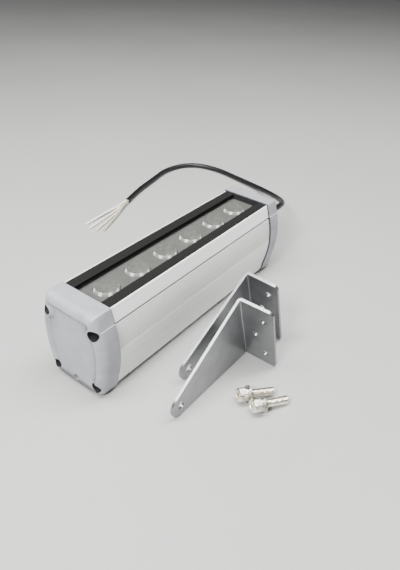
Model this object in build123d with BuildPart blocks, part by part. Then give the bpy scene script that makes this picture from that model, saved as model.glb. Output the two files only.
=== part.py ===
from build123d import *
import os
from math import asin, atan2, cos, degrees, pi, radians, sin, sqrt, tan

# Linear floodlight with its cable, two loose mounting brackets and their bolts.
# The light lies on its underside with the window up. X runs along it, from the plain
# end cap to the cable's end cap, Y across it and Z up. The origin is the middle of the
# underside, on the surface that everything rests on. All sizes are in millimetres.

# Shared clearances and helpers
overrun = 1.0
fit_gap = 0.2
slide_gap = 0.3
thread_gap = 0.05
pick_tolerance = 0.01

# The light as a whole
overall_length = 300.0
cap_depth = 22.5
cap_overhang = 1.4
end_gasket_thickness = 1.0
end_gasket_proud = 0.4
end_gasket_band = 8.0
profile_length = overall_length - 2 * (cap_depth + end_gasket_thickness)

# Cross-section, half widths and heights from the surface
flat_half_width = 10.0
foot_half_width = 30.9
foot_height = 4.0
knee_half_width = 33.4
knee_height = 18.0
belly_half_width = 38.1
belly_height = 45.0
shoulder_half_width = 33.8
shoulder_drop = 15.2
top_half_width = 29.8
top_height = 93.2
shoulder_height = top_height - shoulder_drop
foot_radius = 5.0
knee_radius = 30.0
keel_radius = 40.0
top_corner_radius = 0.6
wall = 2.4
shoulder_groove_radius = 1.2
rib_groove_radius = 0.6
rib_pitch = 1.9
rib_count = 14
rib_margin = 2.6

# Window stack, from the glass down to the shelf
glass_width = 56.8
glass_thickness = 3.0
glass_recess = 0.2
glass_edge_chamfer = 0.4
seal_width = 4.0
seal_thickness = 1.0
ledge_thickness = 1.8
window_clear_half_width = 20.6
trim_flange_thickness = 0.8
trim_leg_thickness = 1.2
lens_plate_thickness = 1.6
lens_plate_width = 54.0
lens_proud = 0.5
lens_height = 15.4
led_board_thickness = 1.6
led_board_width = 30.0
led_board_end_gap = 13.5
thermal_pad_thickness = 0.5
shelf_thickness = 3.0

glass_top = top_height - glass_recess
glass_bottom = glass_top - glass_thickness
ledge_top = glass_bottom - seal_thickness
ledge_bottom = ledge_top - ledge_thickness
lens_plate_top = ledge_bottom - slide_gap
lens_plate_bottom = lens_plate_top - lens_plate_thickness
lens_top = lens_plate_top + lens_proud
led_board_length = profile_length - 2 * led_board_end_gap
led_board_top = lens_top - lens_height
led_board_bottom = led_board_top - led_board_thickness
shelf_top = led_board_bottom - thermal_pad_thickness
shelf_bottom = shelf_top - shelf_thickness
seal_middle = glass_width / 2 - seal_width / 2
trim_outer_half_width = glass_width / 2 - seal_width - fit_gap
ledge_inner_half_width = window_clear_half_width + trim_leg_thickness + fit_gap

# Lenses and emitters
lens_count = 6
lens_end_margin = 24.0
lens_pitch = (profile_length - 2 * lens_end_margin) / (lens_count - 1)
lens_radius = 12.5
lens_flange_radius = 14.2
lens_flange_thickness = 1.5
lens_foot_radius = 6.0
lens_side_radius = 10.3
lens_side_height = 5.4
lens_cavity_radius = 3.6
lens_cavity_depth = 4.6
lens_dish_radius = 7.0
lens_dish_depth = 1.4
led_base_size = 3.5
led_base_height = 0.7
led_dome_radius = 1.6
lens_places = [(index - (lens_count - 1) / 2) * lens_pitch for index in range(lens_count)]
board_screw_places = [
    (lens_places[index] + lens_places[index + 1]) / 2 for index in range(0, lens_count - 1, 2)
]

# Screws of the caps and of the emitter board
cap_screw_radius = 2.0
cap_screw_length = 30.0
cap_screw_head_radius = 4.2
cap_screw_head_height = 2.6
cap_screw_pocket_radius = 5.2
cap_screw_pocket_depth = 9.0
cap_screw_recess_width = 1.1
cap_screw_recess_length = 4.8
cap_screw_recess_depth = 1.3
upper_screw_half_width = 29.4
upper_screw_drop = 16.6
upper_screw_height = top_height - upper_screw_drop
lower_screw_half_width = 26.2
lower_screw_height = 12.6
port_radius = 4.0
board_screw_radius = 1.5
board_screw_length = 6.0
board_screw_head_radius = 2.8
board_screw_head_height = 1.8

screw_places = [
    (side * half_width, height)
    for side in (-1, 1)
    for half_width, height in (
        (upper_screw_half_width, upper_screw_height),
        (lower_screw_half_width, lower_screw_height),
    )
]

# End caps
cap_end_wall = 5.0
cap_side_wall = 3.2
cap_edge_radius = 9.0
cap_shoulder_half_width = 34.0
cap_shoulder_drop = 13.7
cap_shoulder = (cap_shoulder_half_width, top_height - cap_shoulder_drop)
cap_top_half_width = 29.4
cap_ledge_width = 1.0
cap_panel_inset = 10.6
cap_panel_depth = 1.8
cap_panel_slope_width = 3.0
cap_panel_foot_half_width = 25.0
cap_panel_foot_height = 20.0
cap_boss_radius = 7.2
cap_panel_notch_radius = 9.6
pivot_height = 9.6
pivot_hole_radius = 3.4
pivot_hole_depth = 16.0
pivot_boss_radius = 7.5

# Cable gland in the far cap
gland_height = 48.0
gland_thread_radius = 8.0
gland_hex_radius = 12.0
gland_hex_thickness = 5.0
gland_stub_radius = 7.0
gland_stub_length = 8.0
gland_bore_radius = 4.5
gland_inner_length = 9.0
gland_nut_radius = 10.0
gland_nut_length = 21.6
gland_nut_front_wall = 4.0
gland_nut_dome_radius = 3.0
gland_locknut_thickness = 5.0
gland_seat = overall_length / 2 - cap_panel_depth
gland_stub_end = gland_seat + gland_hex_thickness + gland_stub_length
gland_mouth = gland_seat + gland_hex_thickness + slide_gap + gland_nut_length

# Driver board in the lower chamber
driver_bottom = 26.0
driver_thickness = 1.6
driver_half_width = 33.0
driver_length = 148.0
driver_end_gap = 3.5
rail_inner_half_width = 31.0
rail_thickness = 1.6
driver_top = driver_bottom + driver_thickness
driver_end = profile_length / 2 - driver_end_gap
transformer_length = 26.0
transformer_width = 22.0
transformer_height = 17.0
transformer_bobbin_share = 0.6
inductor_radius = 8.0
inductor_bore_radius = 3.4
inductor_height = 7.0
input_capacitor_radius = 6.5
input_capacitor_height = 20.0
output_capacitor_radius = 5.0
output_capacitor_height = 16.0
chip_length = 10.0
chip_width = 6.5
chip_height = 1.8
terminal_length = 10.0
terminal_width = 16.0
terminal_height = 11.0
terminal_wire_height = 5.5
terminal_wire_pitch = 3.6
terminal_end_gap = 24.0
component_spacing = 27.0
component_offset = 12.0

# Cable and wires
cable_radius = 3.8
cable_tail_reach = 19.0
cable_tail_inner_end = overall_length / 2 - cable_tail_reach
core_radius = 1.5
core_offset = 1.55
supply_wire_spread_length = 11.0
supply_wire_landing = 6.0
led_wire_radius = 0.8
led_wire_board_margin = 3.0
led_wire_drop_margin = 4.0
led_wire_start = led_board_length / 2 - led_wire_board_margin
led_wire_drop = driver_end - led_wire_drop_margin
led_wire_rise = 7.0
led_wire_middle = 13.0
led_wire_spacing = 2.4
wire_hole_length = 6.0
wire_hole_width = 4.0
bend_share = 0.45

# Brackets
sheet = 2.5
bracket_arm_length = 101.6
bracket_plate_height = 85.6
bracket_plate_width = 37.8
bracket_tip_radius = 12.5
bracket_inner_bend = 1.2
bracket_corner_radius = 5.0
bracket_tip_hole_radius = 4.3
bracket_plate_hole_radius = 3.25
outer_hole_share = 0.70
middle_hole_share = 0.45
hole_rise_share = 0.30
front_bracket_place = (-114.6, -96.4)
front_bracket_skew = 0.0
rear_bracket_place = (-73.8, -73.3)
rear_bracket_skew = -3.4

# Bolts with their washers
bolt_radius = 4.0
bolt_length = 30.0
bolt_head_radius = 6.5
bolt_head_height = 8.0
bolt_head_chamfer = 0.6
bolt_tip_chamfer = 0.8
bolt_socket_radius = 3.46
bolt_socket_depth = 4.0
washer_bore_radius = 4.2
lock_washer_radius = 6.8
lock_washer_thickness = 2.0
lock_washer_slit = 1.2
washer_radius = 8.0
washer_thickness = 1.6
front_bolt_place = (-73.8, -147.4)
front_bolt_yaw = -29.7
rear_bolt_place = (-71.0, -129.8)
rear_bolt_yaw = -33.7


def finish(piece, name):
    """Names a finished piece and writes its file."""
    piece.part.label = name
    export_step(piece.part, f"parts/{name}.step")


def body_outline(grow, shoulder=(shoulder_half_width, shoulder_height), top=top_half_width):
    """The light's cross-section, moved outwards by grow and kept above the surface."""
    with BuildSketch() as outline:
        with BuildLine() as edge:
            right_side = [
                Line((flat_half_width, 0), (foot_half_width, foot_height)),
                Line((foot_half_width, foot_height), (knee_half_width, knee_height)),
                ThreePointArc(
                    (knee_half_width, knee_height),
                    (belly_half_width, belly_height),
                    shoulder,
                ),
                Line(shoulder, (top, top_height)),
            ]
            mirror(right_side, about=Plane.YZ)
            Line((-flat_half_width, 0), (flat_half_width, 0))
            Line((-top, top_height), (top, top_height))
        make_face()
        for height, radius in (
            (0, keel_radius),
            (foot_height, foot_radius),
            (knee_height, knee_radius),
            (top_height, top_corner_radius),
        ):
            corners = outline.vertices().filter_by(lambda v: abs(v.Y - height) < pick_tolerance)
            fillet(corners, radius)
        if grow:
            offset(amount=grow)
        Rectangle(
            4 * belly_half_width,
            2 * top_height,
            align=(Align.CENTER, Align.MIN),
            mode=Mode.INTERSECT,
        )
    return outline.sketch


def end_plane(side, x):
    """A plane across the light at x, facing the light's middle, with its own y up."""
    return Plane(origin=(side * x, 0, 0), x_dir=(0, -side, 0), z_dir=(-side, 0, 0))


def corner_radii(points):
    """Arc radii that fill a route's corners as far as their runs allow."""
    places = [Vector(*point) for point in points]
    radii = []
    for before, corner, after in zip(places, places[1:], places[2:]):
        arriving = corner - before
        leaving = after - corner
        half_turn = radians(arriving.get_angle(leaving)) / 2
        radii.append(bend_share * min(arriving.length, leaving.length) / tan(half_turn))
    return radii


def round_wire(name, points, radius):
    """A round tube along straight runs joined by tangent arcs, and its length."""
    radii = corner_radii(points)
    with BuildPart() as wire:
        with BuildLine() as route:
            FilletPolyline(*points, radius=radii)
        path = route.wires()[0]
        with BuildSketch(Plane(origin=points[0], z_dir=path % 0)):
            Circle(radius)
        sweep(path=path)
    length = path.length
    error = wire.part.volume / (pi * radius**2 * length) - 1
    print(name, "length", round(length, 1), "volume error", f"{error:.5f}")
    print(name, "radii", [round(value, 1) for value in radii])
    return wire


os.makedirs("parts", exist_ok=True)

# Extruded housing: walls, shelf, ledges for the glass, rails and screw ports in one section
side_curve = ThreePointArc(
    (knee_half_width, knee_height),
    (belly_half_width, belly_height),
    (shoulder_half_width, shoulder_height),
)
rib_heights = [shoulder_height - rib_margin - index * rib_pitch for index in range(rib_count)]
rib_places = [
    (
        side * (side_curve.arc_center.X + sqrt(side_curve.radius**2 - (height - side_curve.arc_center.Y) ** 2)),
        height,
    )
    for side in (-1, 1)
    for height in rib_heights
]
rail_depth = belly_half_width - rail_inner_half_width
rail_places = [
    (side * (rail_inner_half_width + rail_depth / 2), height)
    for side in (-1, 1)
    for height in (
        driver_bottom - fit_gap - rail_thickness / 2,
        driver_top + fit_gap + rail_thickness / 2,
    )
]
with BuildPart() as housing_profile:
    with BuildSketch(Plane.YZ.offset(-profile_length / 2)) as section:
        add(body_outline(0))
        add(body_outline(-wall), mode=Mode.SUBTRACT)
        for bottom, height in ((shelf_bottom, shelf_thickness), (ledge_bottom, ledge_thickness)):
            with Locations((0, bottom)):
                Rectangle(2 * belly_half_width, height, align=(Align.CENTER, Align.MIN))
        with Locations(*rail_places):
            Rectangle(rail_depth, rail_thickness)
        with Locations(*screw_places):
            Circle(port_radius)
        add(body_outline(0), mode=Mode.INTERSECT)
        with Locations((0, ledge_bottom)):
            Rectangle(
                2 * ledge_inner_half_width,
                ledge_thickness,
                align=(Align.CENTER, Align.MIN),
                mode=Mode.SUBTRACT,
            )
        with Locations((0, ledge_top)):
            Rectangle(
                glass_width + 2 * fit_gap,
                top_height - ledge_top + overrun,
                align=(Align.CENTER, Align.MIN),
                mode=Mode.SUBTRACT,
            )
        with Locations(*screw_places):
            Circle(cap_screw_radius + thread_gap, mode=Mode.SUBTRACT)
        with Locations((-shoulder_half_width, shoulder_height), (shoulder_half_width, shoulder_height)):
            Circle(shoulder_groove_radius, mode=Mode.SUBTRACT)
        with Locations(*rib_places):
            Circle(rib_groove_radius, mode=Mode.SUBTRACT)
    extrude(amount=profile_length)
    with BuildSketch(Plane.XY.offset(shelf_bottom - overrun)):
        with Locations(*[(x, 0) for x in board_screw_places]):
            Circle(board_screw_radius + thread_gap)
        with Locations((led_wire_drop, led_wire_middle)):
            SlotOverall(wire_hole_length, wire_hole_width, rotation=90)
    extrude(amount=shelf_thickness + 2 * overrun, mode=Mode.SUBTRACT)
finish(housing_profile, "housing_profile")


def cap_outline(grow):
    """The section as the caps have it, with a broader facet between top and side."""
    return body_outline(grow, cap_shoulder, cap_top_half_width)


def panel_outline(spread):
    """The cap's sunk panel, widened by spread. It runs out below and goes round the upper screws."""
    with BuildSketch() as panel:
        add(cap_outline(cap_overhang - cap_panel_inset + spread))
        with Locations((0, -overrun - 2 * cap_panel_slope_width)):
            Rectangle(
                2 * (cap_panel_foot_half_width + spread),
                cap_panel_foot_height,
                align=(Align.CENTER, Align.MIN),
            )
        with Locations(*[(y, z) for y, z in screw_places if z > belly_height]):
            Circle(cap_panel_notch_radius - spread, mode=Mode.SUBTRACT)
    return panel.sketch


def ledge_cut(across):
    """What comes off a cap's facet, so that a small ledge runs along its shoulder."""
    shoulder_y, shoulder_z = cap_shoulder
    with BuildSketch() as cut:
        with BuildLine():
            Polyline(
                (across * (shoulder_y + cap_overhang - cap_ledge_width), shoulder_z),
                (across * (cap_top_half_width + cap_overhang), top_height + cap_overhang),
                (across * 2 * shoulder_y, top_height + cap_overhang),
                (across * 2 * shoulder_y, shoulder_z),
                close=True,
            )
        make_face()
    return cut.sketch


def end_cap(side, has_gland):
    """A cast end cap with screw pockets, a sunk panel and the tapped pivot hole."""
    outer_plane = end_plane(side, overall_length / 2)
    inner_plane = end_plane(side, overall_length / 2 - cap_end_wall)
    with BuildPart() as cap:
        with BuildSketch(outer_plane):
            add(cap_outline(cap_overhang))
        extrude(amount=cap_depth)
        outer_face = cap.faces().sort_by(Axis.X)[-1 if side > 0 else 0]
        fillet(outer_face.edges(), cap_edge_radius)
        with BuildSketch(outer_plane):
            for across in (-1, 1):
                add(ledge_cut(across))
        extrude(amount=cap_depth, mode=Mode.SUBTRACT)
        for depth, spread in ((-cap_panel_depth, 2 * cap_panel_slope_width), (cap_panel_depth, 0)):
            with BuildSketch(outer_plane.offset(depth)):
                add(panel_outline(spread))
        loft(ruled=True, mode=Mode.SUBTRACT)
        with BuildSketch(inner_plane):
            add(cap_outline(cap_overhang - cap_side_wall))
            with Locations(*screw_places):
                Circle(cap_boss_radius, mode=Mode.SUBTRACT)
            with Locations((0, pivot_height)):
                Circle(pivot_boss_radius, mode=Mode.SUBTRACT)
        extrude(amount=cap_depth - cap_end_wall, mode=Mode.SUBTRACT)
        with BuildSketch(outer_plane):
            with Locations(*screw_places):
                Circle(cap_screw_radius + fit_gap)
        extrude(amount=cap_depth, mode=Mode.SUBTRACT)
        with BuildSketch(outer_plane):
            with Locations(*screw_places):
                Circle(cap_screw_pocket_radius)
        extrude(amount=cap_screw_pocket_depth, mode=Mode.SUBTRACT)
        with BuildSketch(outer_plane):
            with Locations((0, pivot_height)):
                Circle(pivot_hole_radius)
        extrude(amount=pivot_hole_depth, mode=Mode.SUBTRACT)
        if has_gland:
            with BuildSketch(outer_plane):
                with Locations((0, gland_height)):
                    Circle(gland_thread_radius + fit_gap)
            extrude(amount=cap_end_wall + overrun, mode=Mode.SUBTRACT)
    return cap


def end_gasket(side):
    """A rubber gasket between a cap and the housing's end."""
    with BuildPart() as gasket:
        with BuildSketch(end_plane(side, overall_length / 2 - cap_depth)):
            add(body_outline(end_gasket_proud))
            add(body_outline(-end_gasket_band), mode=Mode.SUBTRACT)
            with Locations(*screw_places):
                Circle(cap_screw_radius + fit_gap, mode=Mode.SUBTRACT)
        extrude(amount=end_gasket_thickness)
    return gasket


def cap_screws(side):
    """The four screws of one cap, heads down in their pockets."""
    seat = overall_length / 2 - cap_screw_pocket_depth
    with BuildPart() as screws:
        with BuildSketch(end_plane(side, seat)):
            with Locations(*screw_places):
                Circle(cap_screw_radius)
        extrude(amount=cap_screw_length)
        with BuildSketch(end_plane(side, seat + cap_screw_head_height)):
            with Locations(*screw_places):
                Circle(cap_screw_head_radius)
        extrude(amount=cap_screw_head_height)
        with BuildSketch(end_plane(side, seat + cap_screw_head_height)):
            with Locations(*screw_places):
                Rectangle(cap_screw_recess_length, cap_screw_recess_width)
                Rectangle(cap_screw_recess_width, cap_screw_recess_length)
        extrude(amount=cap_screw_recess_depth, mode=Mode.SUBTRACT)
    return screws


for side, end_name in ((-1, "near"), (1, "far")):
    finish(end_cap(side, side > 0), f"{end_name}_end_cap")
    finish(end_gasket(side), f"{end_name}_end_gasket")
    finish(cap_screws(side), f"{end_name}_cap_screws")

# Window glass, flush between the housing's lips
with BuildPart() as window_glass:
    with BuildSketch(Plane.XY.offset(glass_bottom)):
        Rectangle(profile_length, glass_width)
    extrude(amount=glass_thickness)
    top_edges = window_glass.faces().sort_by(Axis.Z)[-1].edges().filter_by(Axis.X)
    chamfer(top_edges, glass_edge_chamfer)
finish(window_glass, "window_glass")

# Rubber seals and black trim strips under the glass, one of each at either side
trim_leg_bottom = lens_plate_top + fit_gap
for side, side_name in ((-1, "right"), (1, "left")):
    with BuildPart() as window_seal:
        with BuildSketch(Plane.XY.offset(ledge_top)):
            with Locations((0, side * seal_middle)):
                Rectangle(profile_length, seal_width)
        extrude(amount=seal_thickness)
    finish(window_seal, f"window_seal_{side_name}")

    with BuildPart() as window_trim:
        with BuildSketch(Plane.YZ.offset(-profile_length / 2)):
            with BuildLine():
                Polyline(
                    (side * window_clear_half_width, trim_leg_bottom),
                    (side * window_clear_half_width, ledge_top + trim_flange_thickness),
                    (side * trim_outer_half_width, ledge_top + trim_flange_thickness),
                    (side * trim_outer_half_width, ledge_top),
                    (side * (window_clear_half_width + trim_leg_thickness), ledge_top),
                    (side * (window_clear_half_width + trim_leg_thickness), trim_leg_bottom),
                    close=True,
                )
            make_face()
        extrude(amount=profile_length)
    finish(window_trim, f"window_trim_{side_name}")

# Plate that the lens tops come through
with BuildPart() as lens_plate:
    with BuildSketch(Plane.XY.offset(lens_plate_bottom)):
        Rectangle(profile_length, lens_plate_width)
        with Locations(*[(x, 0) for x in lens_places]):
            Circle(lens_radius + slide_gap, mode=Mode.SUBTRACT)
    extrude(amount=lens_plate_thickness)
finish(lens_plate, "lens_plate")

# Emitter board on its thermal pad, with the emitters and lenses that stand on it
with BuildPart() as led_board:
    with BuildSketch(Plane.XY.offset(led_board_bottom)):
        Rectangle(led_board_length, led_board_width)
        with Locations(*[(x, 0) for x in board_screw_places]):
            Circle(board_screw_radius + fit_gap, mode=Mode.SUBTRACT)
    extrude(amount=led_board_thickness)
finish(led_board, "led_board")

with BuildPart() as thermal_pad:
    with BuildSketch(Plane.XY.offset(shelf_top)):
        Rectangle(led_board_length, led_board_width)
        with Locations(*[(x, 0) for x in board_screw_places]):
            Circle(board_screw_radius + fit_gap, mode=Mode.SUBTRACT)
    extrude(amount=thermal_pad_thickness)
finish(thermal_pad, "thermal_pad")

with BuildPart() as led_board_screws:
    with BuildSketch(Plane.XY.offset(led_board_top)):
        with Locations(*[(x, 0) for x in board_screw_places]):
            Circle(board_screw_head_radius)
    extrude(amount=board_screw_head_height)
    with BuildSketch(Plane.XY.offset(led_board_top)):
        with Locations(*[(x, 0) for x in board_screw_places]):
            Circle(board_screw_radius)
    extrude(amount=-board_screw_length)
finish(led_board_screws, "led_board_screws")

lens_flange_bottom = lens_height - lens_proud - lens_plate_thickness - lens_flange_thickness
lens_dish_curve = (lens_dish_radius**2 + lens_dish_depth**2) / (2 * lens_dish_depth)
for index, place in enumerate(lens_places, start=1):
    with BuildPart() as led:
        with BuildSketch(Plane.XY.offset(led_board_top)):
            with Locations((place, 0)):
                Rectangle(led_base_size, led_base_size)
        extrude(amount=led_base_height)
        with BuildSketch(Plane.XZ):
            with Locations((place, led_board_top + led_base_height)):
                Circle(led_dome_radius)
                Rectangle(
                    led_dome_radius,
                    2 * led_dome_radius,
                    align=(Align.MIN, Align.CENTER),
                    mode=Mode.INTERSECT,
                )
                Rectangle(
                    led_dome_radius,
                    led_dome_radius,
                    align=(Align.MIN, Align.MIN),
                    mode=Mode.INTERSECT,
                )
        revolve(axis=Axis((place, 0, 0), (0, 0, 1)))
    finish(led, f"led_{index}")

    with BuildPart() as lens:
        with BuildSketch(Plane(origin=(place, 0, led_board_top), x_dir=(1, 0, 0), z_dir=(0, -1, 0))):
            with BuildLine():
                Line((lens_cavity_radius, 0), (lens_foot_radius, 0))
                ThreePointArc(
                    (lens_foot_radius, 0),
                    (lens_side_radius, lens_side_height),
                    (lens_radius, lens_flange_bottom),
                )
                Polyline(
                    (lens_radius, lens_flange_bottom),
                    (lens_flange_radius, lens_flange_bottom),
                    (lens_flange_radius, lens_flange_bottom + lens_flange_thickness),
                    (lens_radius, lens_flange_bottom + lens_flange_thickness),
                    (lens_radius, lens_height),
                    (0, lens_height),
                    (0, lens_cavity_depth),
                    (lens_cavity_radius, lens_cavity_depth),
                    (lens_cavity_radius, 0),
                )
            make_face()
        revolve(axis=Axis((place, 0, 0), (0, 0, 1)))
        with Locations((place, 0, lens_top - lens_dish_depth + lens_dish_curve)):
            Sphere(lens_dish_curve, mode=Mode.SUBTRACT)
    finish(lens, f"lens_{index}")

# Driver board in the rails, and what is soldered to it
with BuildPart() as driver_board:
    with BuildSketch(Plane.XY.offset(driver_bottom)):
        with Locations((driver_end - driver_length / 2, 0)):
            Rectangle(driver_length, 2 * driver_half_width)
    extrude(amount=driver_thickness)
finish(driver_board, "driver_board")

terminal_place = driver_end - terminal_end_gap
transformer_place = terminal_place - component_spacing - terminal_length / 2
capacitor_place = transformer_place - component_spacing
inductor_place = capacitor_place - component_spacing
chip_place = inductor_place - component_spacing / 2

with BuildPart() as transformer:
    with BuildSketch(Plane.XY.offset(driver_top)):
        with Locations((transformer_place, 0)):
            Rectangle(transformer_length, transformer_width * transformer_bobbin_share)
    extrude(amount=transformer_height * transformer_bobbin_share)
    with BuildSketch(Plane.XY.offset(driver_top)):
        with Locations((transformer_place, 0)):
            Rectangle(transformer_length * transformer_bobbin_share, transformer_width)
    extrude(amount=transformer_height)
finish(transformer, "transformer")

for name, place, offset_y, radius, height in (
    ("input_capacitor", capacitor_place, component_offset, input_capacitor_radius, input_capacitor_height),
    ("output_capacitor", capacitor_place, -component_offset, output_capacitor_radius, output_capacitor_height),
):
    with BuildPart() as capacitor:
        with BuildSketch(Plane.XY.offset(driver_top)):
            with Locations((place, offset_y)):
                Circle(radius)
        extrude(amount=height)
        fillet(capacitor.edges().group_by(Axis.Z)[-1], radius * (1 - transformer_bobbin_share) / 3)
    finish(capacitor, name)

with BuildPart() as inductor:
    with BuildSketch(Plane.XY.offset(driver_top)):
        with Locations((inductor_place, 0)):
            Circle(inductor_radius)
            Circle(inductor_bore_radius, mode=Mode.SUBTRACT)
    extrude(amount=inductor_height)
finish(inductor, "inductor")

with BuildPart() as control_chip:
    with BuildSketch(Plane.XY.offset(driver_top)):
        with Locations((chip_place, component_offset)):
            Rectangle(chip_length, chip_width)
    extrude(amount=chip_height)
finish(control_chip, "control_chip")

with BuildPart() as terminal_block:
    with BuildSketch(Plane.XY.offset(driver_top)):
        with Locations((terminal_place, 0)):
            Rectangle(terminal_length, terminal_width)
    extrude(amount=terminal_height)
finish(terminal_block, "terminal_block")

# Wires from the driver board up to the emitter board
for sign, name in ((-1, "led_wire_negative"), (1, "led_wire_positive")):
    y = led_wire_middle + sign * led_wire_spacing / 2
    led_wire = round_wire(
        name,
        [
            (led_wire_start, y, led_board_top),
            (led_wire_start, y, led_board_top + led_wire_rise),
            (led_wire_drop, y, led_board_top + led_wire_rise),
            (led_wire_drop, y, driver_top),
        ],
        led_wire_radius,
    )
    finish(led_wire, name)

# Cable gland: body through the cap's wall, locknut inside, dome nut and seal outside
gland_hex_end = gland_seat + gland_hex_thickness
wall_inside = overall_length / 2 - cap_end_wall
with BuildPart() as gland_body:
    with BuildSketch(Plane.YZ.offset(wall_inside - gland_inner_length)):
        with Locations((0, gland_height)):
            Circle(gland_thread_radius)
    extrude(amount=gland_seat - wall_inside + gland_inner_length)
    with BuildSketch(Plane.YZ.offset(gland_seat)):
        with Locations((0, gland_height)):
            RegularPolygon(gland_hex_radius, 6)
    extrude(amount=gland_hex_thickness)
    with BuildSketch(Plane.YZ.offset(gland_hex_end)):
        with Locations((0, gland_height)):
            Circle(gland_stub_radius)
    extrude(amount=gland_stub_length)
    with BuildSketch(Plane.YZ.offset(wall_inside - gland_inner_length)):
        with Locations((0, gland_height)):
            Circle(gland_bore_radius)
    extrude(amount=gland_stub_end - wall_inside + gland_inner_length, mode=Mode.SUBTRACT)
finish(gland_body, "gland_body")

with BuildPart() as gland_locknut:
    with BuildSketch(Plane.YZ.offset(wall_inside - gland_locknut_thickness)):
        with Locations((0, gland_height)):
            RegularPolygon(gland_hex_radius, 6)
            Circle(gland_thread_radius + thread_gap, mode=Mode.SUBTRACT)
    extrude(amount=gland_locknut_thickness)
finish(gland_locknut, "gland_locknut")

with BuildPart() as gland_nut:
    with BuildSketch(Plane.YZ.offset(gland_hex_end + slide_gap)):
        with Locations((0, gland_height)):
            Circle(gland_nut_radius)
    extrude(amount=gland_nut_length)
    fillet(gland_nut.faces().sort_by(Axis.X)[-1].edges(), gland_nut_dome_radius)
    with BuildSketch(Plane.YZ.offset(gland_hex_end + slide_gap)):
        with Locations((0, gland_height)):
            Circle(gland_stub_radius + thread_gap)
    extrude(amount=gland_nut_length - gland_nut_front_wall, mode=Mode.SUBTRACT)
    with BuildSketch(Plane.YZ.offset(gland_mouth - gland_nut_front_wall - overrun)):
        with Locations((0, gland_height)):
            Circle(cable_radius + fit_gap)
    extrude(amount=gland_nut_front_wall + 2 * overrun, mode=Mode.SUBTRACT)
finish(gland_nut, "gland_nut")

with BuildPart() as gland_seal:
    with BuildSketch(Plane.YZ.offset(gland_stub_end)):
        with Locations((0, gland_height)):
            Circle(gland_stub_radius - thread_gap)
            Circle(cable_radius + thread_gap, mode=Mode.SUBTRACT)
    extrude(amount=gland_mouth - gland_nut_front_wall - gland_stub_end)
finish(gland_seal, "gland_seal")

# Cable inside the gland, with its cores led down to the terminal block
with BuildPart() as cable_tail:
    with BuildSketch(Plane.YZ.offset(cable_tail_inner_end)):
        with Locations((0, gland_height)):
            Circle(cable_radius)
    extrude(amount=gland_mouth - cable_tail_inner_end)
finish(cable_tail, "cable_tail")

terminal_face = terminal_place + terminal_length / 2
terminal_wire_z = driver_top + terminal_wire_height
supply_wire_spread_end = cable_tail_inner_end - supply_wire_spread_length
with BuildPart() as supply_wires:
    for across, up, pitches in ((-1, 1, -1.5), (-1, -1, -0.5), (1, -1, 0.5), (1, 1, 1.5)):
        y = pitches * terminal_wire_pitch
        start_y = across * core_offset
        start_z = gland_height + up * core_offset
        wire = round_wire(
            "supply_wires",
            [
                (cable_tail_inner_end, start_y, start_z),
                (cable_tail_inner_end - cable_radius, start_y, start_z),
                (supply_wire_spread_end, y, start_z),
                (terminal_face + supply_wire_landing, y, terminal_wire_z),
                (terminal_face, y, terminal_wire_z),
            ],
            core_radius,
        )
        add(wire.part)
finish(supply_wires, "supply_wires")

# The free cable: straight out of the gland, down to the surface and round behind the light
cable_route = [
    (gland_mouth + reach, y, z)
    for reach, y, z in (
        (0, 0, gland_height),
        (37, 0, gland_height),
        (77, 12, 36),
        (119, 44, 18),
        (151, 90, 6),
        (163, 144, cable_radius),
        (172, 196, cable_radius),
        (159, 242, cable_radius),
        (113, 259, cable_radius),
        (61, 247, cable_radius),
        (17, 238, cable_radius),
        (-21, 225, cable_radius),
    )
]
cable = round_wire("cable", cable_route, cable_radius)
finish(cable, "cable")

# Four bared cores fan out from the jacket's end and come to lie on the surface
jacket_end = Vector(*cable_route[-1])
along = (jacket_end - Vector(*cable_route[-2])).normalized()
left = Vector(along.Y, -along.X, 0)
for name, across, up, knee, tip in (
    ("core_white", 1, 1, (-42, 0, 2.8), (-86, -3, core_radius)),
    ("core_cream", 1, -1, (-46, -8, core_radius), (-93, -16, core_radius)),
    ("core_beige", -1, -1, (-44, -14, core_radius), (-90, -27, core_radius)),
    ("core_olive", -1, 1, (-42, -20, 3.2), (-83, -35, core_radius)),
):
    knee = (jacket_end.X + knee[0], jacket_end.Y + knee[1], knee[2])
    tip = (jacket_end.X + tip[0], jacket_end.Y + tip[1], tip[2])
    start = jacket_end + left * (across * core_offset) + Vector(0, 0, up * core_offset)
    straight = start + along * (4 * cable_radius)
    core = round_wire(name, [tuple(start), tuple(straight), knee, tip], core_radius)
    finish(core, name)


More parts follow.
